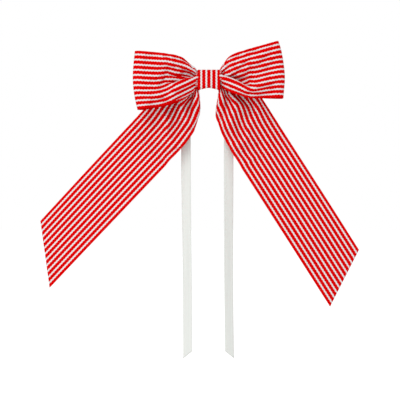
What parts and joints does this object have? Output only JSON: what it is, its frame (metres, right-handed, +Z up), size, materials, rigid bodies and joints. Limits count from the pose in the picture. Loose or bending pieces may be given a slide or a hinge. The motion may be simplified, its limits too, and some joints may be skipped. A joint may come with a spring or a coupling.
{
  "type": "ribbon hair bow",
  "caption": "Striped grosgrain cheer hair bow with a wrapped knot, a loop and a long tail on each side, and narrow satin ribbon ties behind that fasten it round a ponytail.",
  "frame": {"origin": "centre of the knot's back face, which lies against the hair", "axes": "+Z up as the bow is worn, -Y the way its front faces, +X to the right of someone looking at the front"},
  "size_m": [0.2105, 0.0246, 0.2097],
  "materials": {
    "striped_grosgrain": "matt ribbed weave, lengthwise stripes of red and white",
    "white_satin": "satin weave with a soft sheen",
    "white_thread": "twisted sewing thread",
    "hot_glue": "translucent hot-melt glue"
  },
  "bodies": {
    "knot": {"knot_wrap": "striped_grosgrain", "wrap_glue": "hot_glue", "binding_thread": "white_thread", "loop_waist": "striped_grosgrain", "loop_lap": "striped_grosgrain", "tail_waist": "striped_grosgrain", "tail_gather_left": "striped_grosgrain", "tail_gather_right": "striped_grosgrain", "tie_bridge": "white_satin"},
    "loop_left": {"loop_left": "striped_grosgrain"},
    "loop_right": {"loop_right": "striped_grosgrain"},
    "tail_left": {"tail_left": "striped_grosgrain"},
    "tail_right": {"tail_right": "striped_grosgrain"},
    "tie_left": {"tie_left": "white_satin"},
    "tie_right": {"tie_right": "white_satin"}
  },
  "joints": [
    {"name": "loop_left_flex", "type": "hinge", "parent": "knot", "child": "loop_left", "pos_m": [-0.0084, -0.0069, 0], "axis": [0, 0, 1], "range_deg": [0, 30], "stiffness_Nm_per_rad": 0.002},
    {"name": "loop_right_flex", "type": "hinge", "parent": "knot", "child": "loop_right", "pos_m": [0.0084, -0.0069, 0], "axis": [0, 0, -1], "range_deg": [0, 30], "stiffness_Nm_per_rad": 0.002},
    {"name": "tail_left_bend", "type": "hinge", "parent": "knot", "child": "tail_left", "pos_m": [-0.0329, 0, -0.035], "axis": [-0.6603, 0.4226, 0.6208], "range_deg": [-25, 40], "stiffness_Nm_per_rad": 0.002, "springref_deg": 3.72},
    {"name": "tail_right_bend", "type": "hinge", "parent": "knot", "child": "tail_right", "pos_m": [0.0323, 0, -0.0419], "axis": [-0.8094, -0.2756, -0.5186], "range_deg": [-25, 40], "stiffness_Nm_per_rad": 0.002, "springref_deg": 1.72},
    {"name": "tie_left_swing", "type": "hinge", "parent": "knot", "child": "tie_left", "pos_m": [-0.0145, 0.0013, -0.0045], "axis": [1, 0, 0], "range_deg": [0, 85]},
    {"name": "tie_right_swing", "type": "hinge", "parent": "knot", "child": "tie_right", "pos_m": [0.0136, 0.0013, -0.0045], "axis": [1, 0, 0], "range_deg": [0, 85]}
  ]
}
